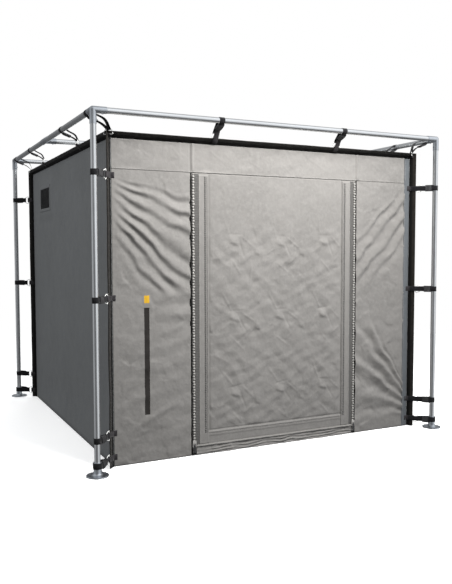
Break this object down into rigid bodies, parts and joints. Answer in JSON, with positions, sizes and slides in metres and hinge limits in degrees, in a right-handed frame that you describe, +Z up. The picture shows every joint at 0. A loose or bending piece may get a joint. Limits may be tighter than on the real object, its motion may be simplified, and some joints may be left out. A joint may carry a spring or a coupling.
{
  "type": "walk-in shielding tent in a tube frame",
  "caption": "Square walk-in tent of silver and grey shielding cloth, with a zipped lift-up front door and a side vent, strapped inside a free-standing aluminium tube frame.",
  "frame": {"origin": "on the ground at the centre of the frame", "axes": "+X to the right seen from the front, +Y towards the back wall, +Z up; the door faces -Y"},
  "size_m": [2.851, 2.863, 2.2797],
  "materials": {
    "tube_aluminium": "brushed along the tube, bright satin",
    "cast_aluminium": "satin cast",
    "silver_cloth": "metallised satin, lightly crinkled",
    "grey_cloth": "matt coated cloth",
    "black_cloth": "matt bound cloth",
    "vent_mesh": "fine open mesh",
    "webbing": "woven",
    "steel": "bright zinc plated",
    "buckle_plastic": "moulded, fine grain",
    "zip_metal": "nickel plated",
    "pull_plastic": "moulded cord pull"
  },
  "bodies": {
    "frame_and_tent": {"front_left_post_lower": "tube_aluminium", "front_left_post_upper": "tube_aluminium", "front_right_post_lower": "tube_aluminium", "front_right_post_upper": "tube_aluminium", "back_left_post_lower": "tube_aluminium", "back_left_post_upper": "tube_aluminium", "back_right_post_lower": "tube_aluminium", "back_right_post_upper": "tube_aluminium", "front_rail_left": "tube_aluminium", "front_rail_right": "tube_aluminium", "back_rail_left": "tube_aluminium", "back_rail_right": "tube_aluminium", "left_rail_front": "tube_aluminium", "left_rail_back": "tube_aluminium", "right_rail_front": "tube_aluminium", "right_rail_back": "tube_aluminium", "cross_rail_left": "tube_aluminium", "cross_rail_right": "tube_aluminium", "front_left_corner_fitting": "cast_aluminium", "front_right_corner_fitting": "cast_aluminium", "back_left_corner_fitting": "cast_aluminium", "back_right_corner_fitting": "cast_aluminium", "left_tee_fitting": "cast_aluminium", "right_tee_fitting": "cast_aluminium", "front_left_foot": "cast_aluminium", "front_right_foot": "cast_aluminium", "back_left_foot": "cast_aluminium", "back_right_foot": "cast_aluminium", "post_spigots": "tube_aluminium", "rail_spigots": "tube_aluminium", "set_screws": "steel", "left_wall": "grey_cloth", "right_wall": "grey_cloth", "back_wall": "grey_cloth", "roof": "grey_cloth", "groundsheet": "black_cloth", "front_left_panel": "silver_cloth", "front_right_panel": "silver_cloth", "front_edge_strip": "grey_cloth", "front_header": "silver_cloth", "top_seam_fins": "black_cloth", "corner_seam_fins": "black_cloth", "vent_screen": "vent_mesh", "vent_border": "grey_cloth", "post_tie_tabs": "webbing", "rail_tie_tabs": "webbing", "tie_rings": "steel", "post_tie_straps": "webbing", "rail_tie_straps": "webbing", "tie_buckles": "buckle_plastic", "zip_tapes": "black_cloth"},
    "door": {"door_panel": "silver_cloth", "door_border": "silver_cloth", "door_hem": "silver_cloth", "zip_chains": "zip_metal"},
    "left_slider": {"left_zip_slider": "zip_metal"},
    "right_slider": {"right_zip_slider": "zip_metal"},
    "left_tab": {"left_pull_tab": "pull_plastic"},
    "right_tab": {"right_pull_tab": "pull_plastic"}
  },
  "joints": [
    {"name": "door_lift", "type": "hinge", "parent": "frame_and_tent", "child": "door", "pos_m": [0.02, -1.229, 1.925], "axis": [-1, 0, 0], "range_deg": [0, 90]},
    {"name": "left_zip", "type": "slide", "parent": "door", "child": "left_slider", "axis": [0, 0, 1], "range_m": [0, 1.75]},
    {"name": "right_zip", "type": "slide", "parent": "door", "child": "right_slider", "axis": [0, 0, 1], "range_m": [0, 1.75]},
    {"name": "left_tab_swing", "type": "hinge", "parent": "left_slider", "child": "left_tab", "pos_m": [-0.6415, -1.2465, 0.084], "axis": [-1, 0, 0], "range_deg": [0, 170]},
    {"name": "right_tab_swing", "type": "hinge", "parent": "right_slider", "child": "right_tab", "pos_m": [0.6815, -1.2465, 0.084], "axis": [-1, 0, 0], "range_deg": [0, 170]}
  ]
}
